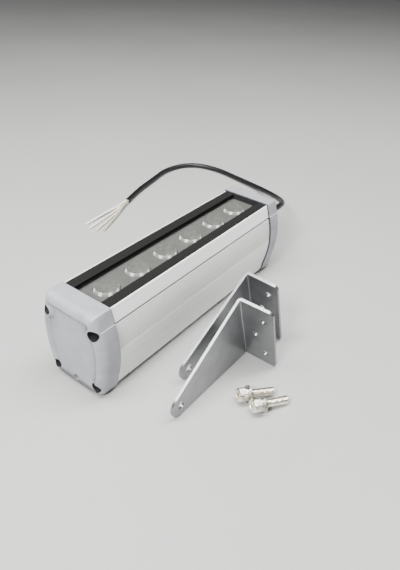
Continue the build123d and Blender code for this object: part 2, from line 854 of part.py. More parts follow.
def bracket(place, skew):
    """A sheet-metal bracket on its long edge: tapered arm with a holed tip and a bent plate."""
    half_height = bracket_plate_height / 2
    reach = sqrt(bracket_arm_length**2 + half_height**2)
    taper = atan2(half_height, bracket_arm_length) - asin(bracket_tip_radius / reach)
    forward = Vector(cos(radians(skew)), sin(radians(skew)), 0)
    along_arm = forward * cos(taper) + Vector(0, 0, sin(taper))
    towards_plate = Vector(forward.Y, -forward.X, 0)
    hole_centre = Vector(place[0], place[1], bracket_tip_radius)
    arm_plane = Plane(origin=hole_centre, x_dir=along_arm, z_dir=towards_plate)
    sheet_plane = Plane(origin=hole_centre, x_dir=along_arm, z_dir=towards_plate.cross(along_arm) * -1)
    plate_plane = Plane(
        origin=hole_centre + along_arm * bracket_arm_length,
        x_dir=towards_plate,
        z_dir=along_arm * -1,
    )
    tangent = (-bracket_tip_radius * sin(taper), bracket_tip_radius * cos(taper))
    with BuildPart() as shape:
        with BuildSketch(sheet_plane) as sheet_section:
            with BuildLine():
                Polyline(
                    (-bracket_tip_radius, 0),
                    (bracket_arm_length, 0),
                    (bracket_arm_length, bracket_plate_width),
                    (bracket_arm_length - sheet, bracket_plate_width),
                    (bracket_arm_length - sheet, sheet),
                    (-bracket_tip_radius, sheet),
                    close=True,
                )
            make_face()
            bends = sheet_section.vertices().filter_by(
                lambda v: v.X > bracket_arm_length - sheet - pick_tolerance and v.Y < sheet + pick_tolerance
            )
            fillet(bends.sort_by(Axis.X)[0], bracket_inner_bend)
            bends = sheet_section.vertices().filter_by(
                lambda v: v.X > bracket_arm_length - pick_tolerance and v.Y < pick_tolerance
            )
            fillet(bends, bracket_inner_bend + sheet)
        extrude(amount=half_height, both=True)
        with BuildSketch(arm_plane):
            with BuildLine():
                Polyline(
                    tangent,
                    (bracket_arm_length, half_height),
                    (bracket_arm_length, -half_height),
                    (tangent[0], -tangent[1]),
                )
                ThreePointArc((tangent[0], -tangent[1]), (-bracket_tip_radius, 0), tangent)
            make_face()
        extrude(amount=bracket_plate_width, mode=Mode.INTERSECT)
        with BuildSketch(arm_plane):
            Circle(bracket_tip_hole_radius)
        extrude(amount=sheet, mode=Mode.SUBTRACT)
        free_corners = shape.edges().filter_by(
            lambda e: abs((e.center() - plate_plane.origin).dot(towards_plate) - bracket_plate_width)
            < pick_tolerance
            and e.length < 2 * sheet
        )
        fillet(free_corners, bracket_corner_radius)
        with BuildSketch(plate_plane):
            with Locations(
                (outer_hole_share * bracket_plate_width, hole_rise_share * bracket_plate_height),
                (middle_hole_share * bracket_plate_width, 0),
                (outer_hole_share * bracket_plate_width, -hole_rise_share * bracket_plate_height),
            ):
                Circle(bracket_plate_hole_radius)
        extrude(amount=sheet, mode=Mode.SUBTRACT)
    print("bracket taper", round(degrees(taper), 3), "arm", along_arm, "plate", plate_plane.origin)
    return shape


finish(bracket(front_bracket_place, front_bracket_skew), "bracket_front")
finish(bracket(rear_bracket_place, rear_bracket_skew), "bracket_rear")


def bolt_set(name, place, yaw):
    """A socket-head bolt with lock washer and washer, lying on the washer's rim and its tip."""
    washer_end = lock_washer_thickness + washer_thickness
    tip = bolt_length - bolt_tip_chamfer
    droop = atan2(washer_radius - bolt_radius, tip - washer_end)
    heading = Vector(cos(radians(yaw)), sin(radians(yaw)), 0)
    axis = heading * cos(droop) - Vector(0, 0, sin(droop))
    up = heading * sin(droop) + Vector(0, 0, cos(droop))
    head_rise = (bolt_head_height + washer_end) * sin(droop) + washer_radius * cos(droop)
    head_end = Vector(place[0], place[1], head_rise)
    seat = head_end + axis * bolt_head_height

    def across(distance):
        """A plane square to the bolt, at a distance from the seat of its head."""
        return Plane(origin=seat + axis * distance, x_dir=up, z_dir=axis)

    with BuildPart() as bolt:
        with BuildSketch(across(-bolt_head_height)):
            Circle(bolt_head_radius)
        extrude(amount=bolt_head_height)
        chamfer(bolt.faces().sort_by(Axis(head_end, axis))[0].edges(), bolt_head_chamfer)
        with BuildSketch(across(-bolt_head_height)):
            RegularPolygon(bolt_socket_radius, 6)
        extrude(amount=bolt_socket_depth, mode=Mode.SUBTRACT)
        with BuildSketch(across(0)):
            Circle(bolt_radius)
        extrude(amount=bolt_length)
        chamfer(bolt.faces().sort_by(Axis(head_end, axis))[-1].edges(), bolt_tip_chamfer)
    finish(bolt, name)

    with BuildPart() as lock_washer:
        with BuildSketch(across(0)):
            Circle(lock_washer_radius)
            Circle(washer_bore_radius, mode=Mode.SUBTRACT)
            Rectangle(
                lock_washer_radius,
                lock_washer_slit,
                align=(Align.MIN, Align.CENTER),
                mode=Mode.SUBTRACT,
            )
        extrude(amount=lock_washer_thickness)
    finish(lock_washer, f"{name}_lock_washer")

    with BuildPart() as washer:
        with BuildSketch(across(lock_washer_thickness)):
            Circle(washer_radius)
            Circle(washer_bore_radius, mode=Mode.SUBTRACT)
        extrude(amount=washer_thickness)
    finish(washer, f"{name}_washer")


bolt_set("bolt_front", front_bolt_place, front_bolt_yaw)
bolt_set("bolt_rear", rear_bolt_place, rear_bolt_yaw)
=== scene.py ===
import math
import bpy
from mathutils import Matrix, Vector


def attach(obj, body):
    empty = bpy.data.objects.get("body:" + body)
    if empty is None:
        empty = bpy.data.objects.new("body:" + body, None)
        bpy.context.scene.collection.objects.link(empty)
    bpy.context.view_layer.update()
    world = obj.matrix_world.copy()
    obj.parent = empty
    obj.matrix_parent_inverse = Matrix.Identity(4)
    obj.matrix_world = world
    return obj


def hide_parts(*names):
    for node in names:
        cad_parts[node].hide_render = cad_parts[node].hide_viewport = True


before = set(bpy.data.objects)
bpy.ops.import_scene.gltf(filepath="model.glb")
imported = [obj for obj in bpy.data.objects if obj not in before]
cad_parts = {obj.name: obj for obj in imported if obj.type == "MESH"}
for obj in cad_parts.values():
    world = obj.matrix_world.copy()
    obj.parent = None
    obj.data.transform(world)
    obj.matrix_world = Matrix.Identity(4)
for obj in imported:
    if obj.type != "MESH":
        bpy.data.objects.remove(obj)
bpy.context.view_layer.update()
scene = bpy.context.scene
print("frame loaded:", len(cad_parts), "pieces")

mm = 0.001


# The camera stands at the photograph's angle: metres, degrees and a lens in millimetres.
cameraSetup = {
    "place": (-0.3665, -0.2943, 0.3709),
    "turn": (54.262, -2.145, -52.605),
    "lens": 33.29,
    "sensor": 36,
    "shift": (0.0016, 0.0039),
}

cameraData = bpy.data.cameras.new("photoCamera")
camera = bpy.data.objects.new("photoCamera", cameraData)
scene.collection.objects.link(camera)
camera.location = cameraSetup["place"]
camera.rotation_euler = [math.radians(angle) for angle in cameraSetup["turn"]]
cameraData.lens = cameraSetup["lens"]
cameraData.sensor_width = cameraSetup["sensor"]
cameraData.shift_x, cameraData.shift_y = cameraSetup["shift"]
scene.camera = camera


# The cable and its four bared cores: sizes in millimetres, lengths in metres.
cable = {
    "radius": 3.8,
    "length": 0.53,
    "points": [
        (175.1, 0, 48), (212.1, 0, 48), (252.1, 12, 36), (294.1, 44, 18), (326.1, 90, 6),
        (338.1, 144, 3.8), (347.1, 196, 3.8), (334.1, 242, 3.8), (288.1, 259, 3.8), (236.1, 247, 3.8),
        (192.1, 238, 3.8), (154.1, 225, 3.8),
    ],
}
cores = {
    "radius": 1.5,
    "offset": 1.55,
    "straight": 15.2,  # how far each core runs on in line with the jacket
    "routes": {
        # side across, side up, third point, tip, length
        "core_white": (1, 1, (112.1, 225, 2.8), (68.1, 222, 1.5), 0.0864),
        "core_cream": (1, -1, (108.1, 217, 1.5), (61.1, 209, 1.5), 0.0943),
        "core_beige": (-1, -1, (110.1, 211, 1.5), (64.1, 198, 1.5), 0.0941),
        "core_olive": (-1, 1, (112.1, 205, 3.2), (71.1, 190, 1.5), 0.0902),
    },
}
cordMesh = {"steps": 16, "roundness": 6}  # along the spline between its points, and round its section


def layCord(name, points, radius):
    curve = bpy.data.curves.new(name, "CURVE")
    curve.dimensions = "3D"
    curve.resolution_u = cordMesh["steps"]
    curve.bevel_depth = radius * mm
    curve.bevel_resolution = cordMesh["roundness"]
    curve.use_fill_caps = True
    spline = curve.splines.new("NURBS")
    spline.points.add(len(points) - 1)
    for point, (x, y, z) in zip(spline.points, points):
        point.co = (x * mm, y * mm, z * mm, 1)
    spline.order_u = 3
    spline.use_endpoint_u = True
    cord = bpy.data.objects.new(name, curve)
    scene.collection.objects.link(cord)
    return cord


cableCord = layCord("cableJacket", cable["points"], cable["radius"])
jacketEnd = Vector(cable["points"][-1])
runOut = (jacketEnd - Vector(cable["points"][-2])).normalized()
sideways = Vector((runOut.y, -runOut.x, 0))
coreCords = {}
coreStarts = {}
for name, (across, up, knee, tip, length) in cores["routes"].items():
    start = jacketEnd + sideways * (across * cores["offset"]) + Vector((0, 0, up * cores["offset"]))
    bend = start + runOut * cores["straight"]
    coreCords[name] = layCord(name.replace("core_", "coreWire_"), [start, bend, knee, tip], cores["radius"])
    coreStarts[name] = (start, length)
print("camera and cords placed")


def linear(hexColour):
    channels = [int(hexColour[i:i + 2], 16) / 255 for i in (1, 3, 5)]
    return [c / 12.92 if c <= 0.04045 else ((c + 0.055) / 1.055) ** 2.4 for c in channels] + [1.0]


def perMetre(size):
    # the noise scale that gives features of this size in millimetres
    return 1000.0 / size


def addNode(tree, kind, settings=None, links=None):
    node = tree.nodes.new(kind)
    for key, value in (settings or {}).items():
        if isinstance(key, int) or key in node.inputs:
            node.inputs[key].default_value = value
        else:
            setattr(node, key, value)
    for key, source in (links or {}).items():
        tree.links.new(source, node.inputs[key])
    return node


surfaceNoise = {
    "patchDetail": 3.0, "patchSpread": (0.35, 0.65),
    "grainDetail": 4.0, "grainRoughness": 0.6, "grainSpread": (0.3, 0.7),
}


def makeSurface(look):
    # two close tones in patches, a fine grain in the gloss and a small relief, over one shader
    material = bpy.data.materials.new(look["name"])
    material.use_nodes = True
    tree = material.node_tree
    shader = tree.nodes["Principled BSDF"]
    for socket, value in look.get("sockets", {}).items():
        shader.inputs[socket].default_value = value
    place = addNode(tree, "ShaderNodeTexCoord")
    stretched = addNode(
        tree, "ShaderNodeMapping", {"Scale": look.get("stretch", (1, 1, 1))},
        {"Vector": place.outputs["Object"]},
    )
    patches = addNode(
        tree, "ShaderNodeTexNoise",
        {"Scale": perMetre(look["patch"]), "Detail": surfaceNoise["patchDetail"]},
        {"Vector": stretched.outputs[0]},
    )
    grain = addNode(
        tree, "ShaderNodeTexNoise",
        {
            "Scale": perMetre(look["grain"]), "Detail": surfaceNoise["grainDetail"],
            "Roughness": surfaceNoise["grainRoughness"],
        },
        {"Vector": stretched.outputs[0]},
    )
    patchLow, patchHigh = surfaceNoise["patchSpread"]
    spread = addNode(
        tree, "ShaderNodeMapRange", {"From Min": patchLow, "From Max": patchHigh},
        {"Value": patches.outputs[0]},
    )
    tones = addNode(
        tree, "ShaderNodeMix",
        {"data_type": "RGBA", 6: linear(look["tones"][0]), 7: linear(look["tones"][1])},
        {0: spread.outputs[0]},
    )
    grainLow, grainHigh = surfaceNoise["grainSpread"]
    gloss = addNode(
        tree, "ShaderNodeMapRange",
        {"From Min": grainLow, "From Max": grainHigh, "To Min": look["rough"][0], "To Max": look["rough"][1]},
        {"Value": grain.outputs[0]},
    )
    relief = addNode(
        tree, "ShaderNodeBump", {"Strength": 1.0, "Distance": look["relief"] * mm},
        {"Height": grain.outputs[0]},
    )
    tree.links.new(tones.outputs[2], shader.inputs["Base Color"])
    tree.links.new(gloss.outputs[0], shader.inputs["Roughness"])
    tree.links.new(relief.outputs[0], shader.inputs["Normal"])
    return material


specks = {"detail": 2.0, "edge": 0.12, "strength": 0.7}


def speckle(material, look):
    # scattered specks of a second colour over the surface's own tones
    tree = material.node_tree
    shader = tree.nodes["Principled BSDF"]
    under = shader.inputs["Base Color"].links[0].from_socket
    place = addNode(tree, "ShaderNodeTexCoord")
    dots = addNode(
        tree, "ShaderNodeTexNoise", {"Scale": perMetre(look["size"]), "Detail": specks["detail"]},
        {"Vector": place.outputs["Object"]},
    )
    start = 1 - look["share"]
    cut = addNode(
        tree, "ShaderNodeMapRange",
        {"From Min": start, "From Max": start + specks["edge"], "To Max": specks["strength"]},
        {"Value": dots.outputs[0]},
    )
    mixed = addNode(
        tree, "ShaderNodeMix", {"data_type": "RGBA", 7: linear(look["colour"])},
        {0: cut.outputs[0], 6: under},
    )
    tree.links.new(mixed.outputs[2], shader.inputs["Base Color"])
    return material


def paintGrooveShade(material, look):
    # painted shade on the floors of one broad groove and a band of fine ones, all running along the length
    tree = material.node_tree
    shader = tree.nodes["Principled BSDF"]
    under = shader.inputs["Base Color"].links[0].from_socket
    place = addNode(tree, "ShaderNodeTexCoord")
    split = addNode(tree, "ShaderNodeSeparateXYZ", {}, {"Vector": place.outputs["Object"]})
    away = addNode(
        tree, "ShaderNodeMath", {"operation": "SUBTRACT", 1: look["groove"] * mm}, {0: split.outputs["Z"]}
    )
    gap = addNode(tree, "ShaderNodeMath", {"operation": "ABSOLUTE"}, {0: away.outputs[0]})
    broad = addNode(
        tree, "ShaderNodeMapRange",
        {
            "From Min": look["grooveHalf"] * mm * look["grooveCore"], "From Max": look["grooveHalf"] * mm,
            "To Min": look["grooveShade"], "To Max": 0.0,
        },
        {"Value": gap.outputs[0]},
    )
    wave = addNode(
        tree, "ShaderNodeMath", {"operation": "PINGPONG", 1: look["pitch"] * mm / 2}, {0: away.outputs[0]}
    )
    fine = addNode(
        tree, "ShaderNodeMapRange",
        {"From Min": look["fineStart"] * mm, "From Max": look["fineEnd"] * mm, "To Max": look["fineShade"]},
        {"Value": wave.outputs[0]},
    )
    below = addNode(
        tree, "ShaderNodeMapRange",
        {"From Min": look["bandBottom"] * mm, "From Max": (look["bandBottom"] + look["bandEdge"]) * mm},
        {"Value": split.outputs["Z"]},
    )
    above = addNode(
        tree, "ShaderNodeMapRange",
        {
            "From Min": look["bandTop"] * mm, "From Max": (look["bandTop"] + look["bandEdge"]) * mm,
            "To Min": 1.0, "To Max": 0.0,
        },
        {"Value": split.outputs["Z"]},
    )
    band = addNode(
        tree, "ShaderNodeMath", {"operation": "MULTIPLY"}, {0: below.outputs[0], 1: above.outputs[0]}
    )
    banded = addNode(
        tree, "ShaderNodeMath", {"operation": "MULTIPLY"}, {0: band.outputs[0], 1: fine.outputs[0]}
    )
    shade = addNode(
        tree, "ShaderNodeMath", {"operation": "MAXIMUM"}, {0: banded.outputs[0], 1: broad.outputs[0]}
    )
    mixed = addNode(
        tree, "ShaderNodeMix", {"data_type": "RGBA", 7: linear(look["floor"])},
        {0: shade.outputs[0], 6: under},
    )
    tree.links.new(mixed.outputs[2], shader.inputs["Base Color"])
    return material


def paintPocketShade(material, look):
    # painted shade: the walls of the screw pockets lie in deep shade, so the colour goes dark within a radius
    # of each screw's axis
    tree = material.node_tree
    shader = tree.nodes["Principled BSDF"]
    under = shader.inputs["Base Color"].links[0].from_socket
    place = addNode(tree, "ShaderNodeTexCoord")
    split = addNode(tree, "ShaderNodeSeparateXYZ", {}, {"Vector": place.outputs["Object"]})
    half = addNode(tree, "ShaderNodeMath", {"operation": "ABSOLUTE"}, {0: split.outputs["Y"]})
    flat = addNode(tree, "ShaderNodeCombineXYZ", {}, {"X": half.outputs[0], "Y": split.outputs["Z"]})
    nearest = None
    for y, z in look["places"]:
        reach = addNode(
            tree, "ShaderNodeVectorMath", {"operation": "DISTANCE", 1: (y * mm, z * mm, 0)},
            {0: flat.outputs[0]},
        ).outputs["Value"]
        if nearest is None:
            nearest = reach
        else:
            nearer = addNode(tree, "ShaderNodeMath", {"operation": "MINIMUM"}, {0: nearest, 1: reach})
            nearest = nearer.outputs[0]
    inside = addNode(
        tree, "ShaderNodeMapRange",
        {
            "From Min": look["radius"] * mm, "From Max": (look["radius"] + look["soft"]) * mm,
            "To Min": 1.0, "To Max": 0.0,
        },
        {"Value": nearest},
    )
    mixed = addNode(
        tree, "ShaderNodeMix", {"data_type": "RGBA", 7: linear(look["floor"])},
        {0: inside.outputs[0], 6: under},
    )
    tree.links.new(mixed.outputs[2], shader.inputs["Base Color"])
    return material


def printBorder(material, look):
    # an opaque band of ink, from a set distance off the middle line out to each long edge
    tree = material.node_tree
    shader = tree.nodes["Principled BSDF"]
    under = shader.inputs["Base Color"].links[0].from_socket
    place = addNode(tree, "ShaderNodeTexCoord")
    split = addNode(tree, "ShaderNodeSeparateXYZ", {}, {"Vector": place.outputs["Object"]})
    half = addNode(tree, "ShaderNodeMath", {"operation": "ABSOLUTE"}, {0: split.outputs["Y"]})
    ink = addNode(
        tree, "ShaderNodeMapRange",
        {"From Min": (look["inner"] - look["soft"]) * mm, "From Max": (look["inner"] + look["soft"]) * mm},
        {"Value": half.outputs[0]},
    )
    mixed = addNode(
        tree, "ShaderNodeMix", {"data_type": "RGBA", 7: linear(look["ink"])}, {0: ink.outputs[0], 6: under}
    )
    cover = addNode(
        tree, "ShaderNodeMapRange", {"To Min": look["clear"], "To Max": 1.0}, {"Value": ink.outputs[0]}
    )
    tree.links.new(mixed.outputs[2], shader.inputs["Base Color"])
    tree.links.new(cover.outputs[0], shader.inputs["Alpha"])
    return material


def paintCreaseShade(material, look):
    # painted shade: the colour goes darker where the paint runs into an inner corner, as an ambient-occlusion
    # node finds it
    tree = material.node_tree
    shader = tree.nodes["Principled BSDF"]
    under = shader.inputs["Base Color"].links[0].from_socket
    shelter = addNode(
        tree, "ShaderNodeAmbientOcclusion", {"samples": look["samples"], "Distance": look["reach"] * mm}
    )
    depth = addNode(
        tree, "ShaderNodeMapRange",
        {"From Min": look["from"], "From Max": look["to"], "To Min": look["shade"], "To Max": 0.0},
        {"Value": shelter.outputs["AO"]},
    )
    # the painted shade stays off slopes that lean against this direction, toward the light, so they keep
    # their colour
    normal = addNode(tree, "ShaderNodeNewGeometry").outputs["Normal"]
    lean = addNode(
        tree, "ShaderNodeVectorMath", {"operation": "DOT_PRODUCT", 1: look["away"]}, {0: normal}
    )
    kept = addNode(
        tree, "ShaderNodeMapRange",
        {"From Min": look["leanFrom"], "From Max": look["leanTo"], "To Min": 0.0, "To Max": 1.0},
        {"Value": lean.outputs["Value"]},
    )
    shadow = addNode(
        tree, "ShaderNodeMath", {"operation": "MULTIPLY"}, {0: depth.outputs[0], 1: kept.outputs[0]}
    )
    mixed = addNode(
        tree, "ShaderNodeMix", {"data_type": "RGBA", 7: linear(look["floor"])},
        {0: shadow.outputs[0], 6: under},
    )
    tree.links.new(mixed.outputs[2], shader.inputs["Base Color"])
    return material


def dress(material, *names):
    for name in names:
        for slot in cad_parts[name].material_slots:
            slot.link = "OBJECT"
            slot.material = material


def meshPiece(name, points, faces, material, body):
    mesh = bpy.data.meshes.new(name)
    mesh.from_pydata([tuple(p) for p in points], [], faces)
    mesh.update()
    for polygon in mesh.polygons:
        polygon.use_smooth = True
    mesh.materials.append(material)
    piece = bpy.data.objects.new(name, mesh)
    scene.collection.objects.link(piece)
    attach(piece, body)
    return piece


def turned(rings, place, count, closeEnd=True):
    # rings of points round an axis: each is a distance along it and a radius, plain or by angle
    points, faces = [], []
    for along, radius in rings:
        for step in range(count):
            angle = 2 * math.pi * step / count
            r = radius(angle) if callable(radius) else radius
            points.append(place @ Vector((r * math.cos(angle), r * math.sin(angle), along)))
    for ring in range(len(rings) - 1):
        for step in range(count):
            a = ring * count + step
            b = ring * count + (step + 1) % count
            faces.append((a, b, b + count, a + count))
    faces.append(tuple(reversed(range(count))))
    if closeEnd:
        faces.append(tuple(range((len(rings) - 1) * count, len(rings) * count)))
    return points, faces


def sharpen(piece, angle):
    # smooth shading that still breaks at real edges
    for edge in piece.data.edges:
        edge.use_edge_sharp = False
    piece.data.set_sharp_from_angle(angle=math.radians(angle))


def hexagon(cornerRadius, grown=0.0):
    # how far a hexagon's side is from the axis at each angle
    sixth = math.radians(60)

    def at(angle):
        return cornerRadius * math.cos(sixth / 2) / math.cos(angle % sixth - sixth / 2) + grown
    return at


# Anodised aluminium, as extruded: matte silver, nearly white where it faces the light, with
# faint die lines along its length, and painted shade on the floors of its groove and between its fine ribs.
# The groove and the ribs, 1.9 mm apart, are in the solid; here their floors only get painted shade.
anodisedAluminium = makeSurface({
    "name": "anodisedAluminium", "tones": ("#fcfcfa", "#f4f4f2"), "patch": 4.0, "grain": 1.2,
    "relief": 0.02, "rough": (0.32, 0.45), "stretch": (0.02, 1, 1), "sockets": {"Metallic": 0.05},
})
paintGrooveShade(anodisedAluminium, {
    "floor": "#5c5c59", "groove": 78.0, "grooveHalf": 1.5, "grooveCore": 0.6, "grooveShade": 0.85,
    "pitch": 1.9, "fineStart": 0.4, "fineEnd": 0.7, "fineShade": 0.5,
    "bandBottom": 50.0, "bandTop": 76.0, "bandEdge": 0.5,
})

# Powder coat, baked on over a die casting: satin bluish grey, softly pebbled, with darker specks.
# Painted shade darkens it inside the screw pockets, and along two edges of the sunk panel, the upper one
# and the one on the brackets' side.
powderCoat = makeSurface({
    "name": "powderCoatedCasting", "tones": ("#a5a6ab", "#9b9ca1"), "patch": 14.0, "grain": 1.0,
    "relief": 0.10, "rough": (0.42, 0.6), "sockets": {"Metallic": 0.2, "Coat Weight": 0.08},
})
speckle(powderCoat, {"colour": "#7f8188", "size": 1.0, "share": 0.4})
paintCreaseShade(powderCoat, {
    "samples": 8, "reach": 12.0, "from": 0.91, "to": 0.985, "shade": 1.0, "floor": "#1d1e21",
    "away": (0.0, 0.7, -0.7), "leanFrom": -0.26, "leanTo": 0.1,
})
paintPocketShade(powderCoat, {
    "floor": "#2c2c2e", "radius": 5.2, "soft": 0.3, "places": ((29.4, 76.6), (26.2, 12.6)),
})

# Toughened soda-lime glass, screen printed: clear and dead flat, so its middle shows only a faint
# sheen, and a band of black ink along each long edge hides what lies under it.
toughenedGlass = makeSurface({
    "name": "toughenedGlass", "tones": ("#101211", "#151716"), "patch": 40.0, "grain": 6.0,
    "relief": 0.0005, "rough": (0.03, 0.06), "sockets": {"IOR": 1.52},
})
printBorder(toughenedGlass, {"inner": 16.9, "soft": 0.5, "ink": "#20201f", "clear": 0.1})

# Moulded acrylic of the lens tops: clear and glossy, greyed by the plate and cup under it.
mouldedAcrylic = makeSurface({
    "name": "mouldedAcrylic", "tones": ("#7d7e78", "#72736d"), "patch": 6.0, "grain": 1.4,
    "relief": 0.01, "rough": (0.05, 0.12), "sockets": {"Alpha": 0.7, "IOR": 1.49},
})

# Stretches of the collimator's flank, seen through the rim: painted reflection, nearly white, under a full
# coat.
flankPaintedReflection = makeSurface({
    "name": "flankPaintedReflection", "tones": ("#ffffff", "#f4f4ee"), "patch": 1.6, "grain": 0.9,
    "relief": 0.02, "rough": (0.12, 0.22), "sockets": {"Coat Weight": 1.0},
})

# Satin-moulded stretches of the rim between the ones with painted reflection: mid grey under a thin gloss.
satinFlank = makeSurface({
    "name": "satinFlank", "tones": ("#a4a59e", "#969790"), "patch": 1.6, "grain": 0.9,
    "relief": 0.02, "rough": (0.2, 0.32), "sockets": {"Coat Weight": 0.6},
})

# Frosted moulding of the collimator cup, behind the acrylic: satin, a warm pale grey.
collimatorCup = makeSurface({
    "name": "collimatorCup", "tones": ("#b9bab3", "#a9aaa4"), "patch": 3.0, "grain": 0.9,
    "relief": 0.03, "rough": (0.25, 0.4), "sockets": {"Metallic": 0.3},
})

# Painted steel plate round the lenses: flat mid grey.
paintedPlate = makeSurface({
    "name": "paintedPlate", "tones": ("#656662", "#5d5e5a"), "patch": 12.0, "grain": 0.8,
    "relief": 0.03, "rough": (0.5, 0.65),
})

# Folded aluminium trim under the glass, mostly hidden by the printed band: its matte light grey is painted
# light, so that its legs in shade under the band don't read black.
borderTrimPaintedLight = makeSurface({
    "name": "borderTrimPaintedLight", "tones": ("#a8a8a4", "#9c9c98"), "patch": 10.0, "grain": 0.9,
    "relief": 0.02, "rough": (0.55, 0.7),
})

# EPDM rubber of the gaskets and seals: black and dull.
epdmRubber = makeSurface({
    "name": "epdmRubber", "tones": ("#1b1b1c", "#232324"), "patch": 5.0, "grain": 0.7,
    "relief": 0.04, "rough": (0.7, 0.85),
})

# PVC cable jacket: black with a soft sheen along its top, and a fine drawn grain.
pvcJacket = makeSurface({
    "name": "pvcJacket", "tones": ("#070708", "#0c0c0d"), "patch": 9.0, "grain": 0.8,
    "relief": 0.03, "rough": (0.38, 0.5),
})

# Core insulation: smooth soft PVC, slightly waxy, in four colours.
coreColours = {
    "core_white": ("#f1f0ea", "#e6e5df"),
    "core_cream": ("#ece6d3", "#e2dbc6"),
    "core_beige": ("#e4d4c6", "#d8c8b9"),
    "core_olive": ("#b4b498", "#a7a78c"),
}
coreInsulation = {
    name: makeSurface({
        "name": name.replace("core_", "coreInsulation_"), "tones": tones, "patch": 4.0, "grain": 0.6,
        "relief": 0.01, "rough": (0.4, 0.5), "sockets": {"Subsurface Weight": 0.05},
    })
    for name, tones in coreColours.items()
}

# Glass-filled nylon of the cable gland: black, dull, with a spark-eroded texture.
glandNylon = makeSurface({
    "name": "glandNylon", "tones": ("#1f2022", "#27282a"), "patch": 5.0, "grain": 0.6,
    "relief": 0.05, "rough": (0.5, 0.65),
})

# Zinc-coated sheet steel of the brackets, rolled: satin grey with soft mirroring and dull specks.
coatedSheetSteel = makeSurface({
    "name": "coatedSheetSteel", "tones": ("#98999b", "#8e8f91"), "patch": 16.0, "grain": 0.9,
    "relief": 0.03, "rough": (0.27, 0.36), "sockets": {"Metallic": 0.95},
})
speckle(coatedSheetSteel, {"colour": "#7f8082", "size": 1.1, "share": 0.38})

# Stainless steel A2 of the bolts, turned and rolled: bright and slightly warm.
stainlessSteel = makeSurface({
    "name": "stainlessSteel", "tones": ("#fbf5e8", "#e6dfd1"), "patch": 3.0, "grain": 0.5,
    "relief": 0.02, "rough": (0.16, 0.26), "sockets": {"Metallic": 0.92},
})

# Zinc plate on the pressed washers: a shade greyer and duller than the bolts.
zincPlate = makeSurface({
    "name": "zincPlate", "tones": ("#c9c8c3", "#bbbab6"), "patch": 3.0, "grain": 0.6,
    "relief": 0.02, "rough": (0.32, 0.45), "sockets": {"Metallic": 1.0},
})

# Steel of the cap screws, coloured nearly black as painted shade at the bottom of their deep pockets.
screwSteelPaintedShade = makeSurface({
    "name": "screwSteelPaintedShade", "tones": ("#19191b", "#232325"), "patch": 3.0, "grain": 0.5,
    "relief": 0.03, "rough": (0.4, 0.55), "sockets": {"Metallic": 0.5},
})

# The parts of the driver and emitter board, hidden in use: each in its usual colour and gloss.
innerGrain = {"patch": 5.0, "grain": 0.8, "relief": 0.02, "roughSpread": 0.12}
innerLooks = {
    # two tones, roughness, metallic, the nodes it is on
    "solderResistWhite": (("#e6e6e2", "#dcdcd8"), 0.35, 0.0, ["led_board"]),
    "solderResistGreen": (("#1d5a3a", "#174c31"), 0.3, 0.0, ["driver_board"]),
    "siliconePad": (("#8f9499", "#878c91"), 0.8, 0.0, ["thermal_pad"]),
    "phosphorDome": (("#d8c860", "#cdbb4e"), 0.25, 0.0, [f"led_{i}" for i in range(1, 7)]),
    "ferriteAndTape": (("#3a3a3c", "#444446"), 0.6, 0.0, ["transformer"]),
    "enamelledCopper": (("#a8693a", "#95592e"), 0.3, 0.9, ["inductor"]),
    "sleevedCan": (("#25304f", "#1f2942"), 0.35, 0.0, ["input_capacitor", "output_capacitor"]),
    "mouldedEpoxy": (("#1c1c1e", "#242426"), 0.6, 0.0, ["control_chip"]),
    "terminalPolyamide": (("#3c7a4c", "#336c42"), 0.45, 0.0, ["terminal_block"]),
    "redInsulation": (("#9c2a24", "#8d241f"), 0.45, 0.0, ["led_wire_positive"]),
    "blackInsulation": (("#202022", "#29292b"), 0.45, 0.0, ["led_wire_negative", "supply_wires"]),
    "plainSteel": (("#8c8b88", "#7f7e7b"), 0.35, 1.0, ["led_board_screws"]),
}
for name, (tones, rough, metallic, nodes) in innerLooks.items():
    dress(
        makeSurface({
            **innerGrain, "name": name, "tones": tones,
            "rough": (rough, rough + innerGrain["roughSpread"]), "sockets": {"Metallic": metallic},
        }),
        *nodes,
    )

dress(anodisedAluminium, "housing_profile")
dress(powderCoat, "near_end_cap", "far_end_cap")
dress(epdmRubber, "near_end_gasket", "far_end_gasket", "window_seal_left", "window_seal_right", "gland_seal")
dress(screwSteelPaintedShade, "near_cap_screws", "far_cap_screws")
dress(toughenedGlass, "window_glass")
dress(borderTrimPaintedLight, "window_trim_left", "window_trim_right")
dress(paintedPlate, "lens_plate")
dress(coatedSheetSteel, "bracket_front", "bracket_rear")
dress(glandNylon, "gland_locknut")
dress(pvcJacket, "cable_tail")
dress(zincPlate, "bolt_front_lock_washer", "bolt_front_washer", "bolt_rear_lock_washer", "bolt_rear_washer")
print("materials given to the fixed pieces")


# The cords get their finish and their body.
cableCord.data.materials.append(pvcJacket)
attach(cableCord, "light")
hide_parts("cable")
for name, cord in coreCords.items():
    start, length = coreStarts[name]
    cord.data.materials.append(coreInsulation[name])
    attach(cord, "light")
    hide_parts(name)


